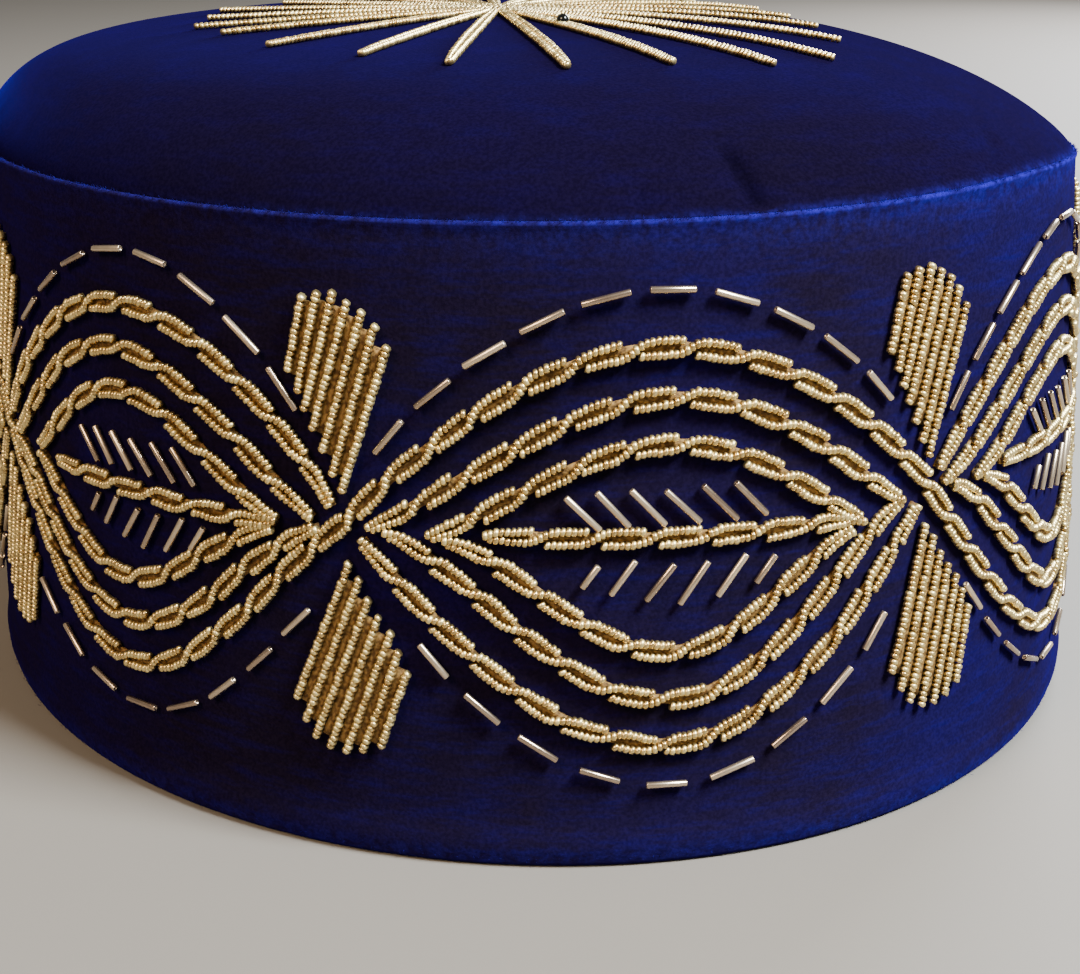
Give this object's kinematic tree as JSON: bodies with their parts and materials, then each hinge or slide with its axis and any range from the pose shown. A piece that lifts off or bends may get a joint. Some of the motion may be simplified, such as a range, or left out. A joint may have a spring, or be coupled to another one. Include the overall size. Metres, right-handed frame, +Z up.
{
  "type": "chieftaincy cap",
  "caption": "Round velvet cap with a stiff tapering side band and a softly domed crown, trimmed all round with gold beadwork of interlaced ropes, petals and a star.",
  "frame": {"origin": "middle of the cap's foot, on the surface that it stands on", "axes": "+Z up through the crown, -Y towards the front of the head, the long way of the oval along Y"},
  "size_m": [0.183, 0.1985, 0.1038],
  "materials": {
    "velvet": "royal-blue cotton velvet, short dense nap",
    "seed_beads": "gold-lined glass seed beads, glossy",
    "bugle_beads": "smooth tan-gold lined glass tubes"
  },
  "bodies": {
    "root": {"band": "velvet", "crown": "velvet", "star": "seed_beads", "wave": "seed_beads", "ropes_1": "seed_beads", "inner_1": "seed_beads", "leaf_1": "bugle_beads", "dash_top_1": "bugle_beads", "dash_low_1": "bugle_beads", "petal_top_1": "seed_beads", "petal_low_1": "seed_beads", "ropes_2": "seed_beads", "inner_2": "seed_beads", "leaf_2": "bugle_beads", "dash_top_2": "bugle_beads", "dash_low_2": "bugle_beads", "petal_top_2": "seed_beads", "petal_low_2": "seed_beads", "ropes_3": "seed_beads", "inner_3": "seed_beads", "leaf_3": "bugle_beads", "dash_top_3": "bugle_beads", "dash_low_3": "bugle_beads", "petal_top_3": "seed_beads", "petal_low_3": "seed_beads", "ropes_4": "seed_beads", "inner_4": "seed_beads", "leaf_4": "bugle_beads", "dash_top_4": "bugle_beads", "dash_low_4": "bugle_beads", "petal_top_4": "seed_beads", "petal_low_4": "seed_beads", "ropes_5": "seed_beads", "inner_5": "seed_beads", "leaf_5": "bugle_beads", "dash_top_5": "bugle_beads", "dash_low_5": "bugle_beads", "petal_top_5": "seed_beads", "petal_low_5": "seed_beads", "ropes_6": "seed_beads", "inner_6": "seed_beads", "leaf_6": "bugle_beads", "dash_top_6": "bugle_beads", "dash_low_6": "bugle_beads", "petal_top_6": "seed_beads", "petal_low_6": "seed_beads", "ropes_7": "seed_beads", "inner_7": "seed_beads", "leaf_7": "bugle_beads", "dash_top_7": "bugle_beads", "dash_low_7": "bugle_beads", "petal_top_7": "seed_beads", "petal_low_7": "seed_beads", "ropes_8": "seed_beads", "inner_8": "seed_beads", "leaf_8": "bugle_beads", "dash_top_8": "bugle_beads", "dash_low_8": "bugle_beads", "petal_top_8": "seed_beads", "petal_low_8": "seed_beads"}
  },
  "joints": []
}
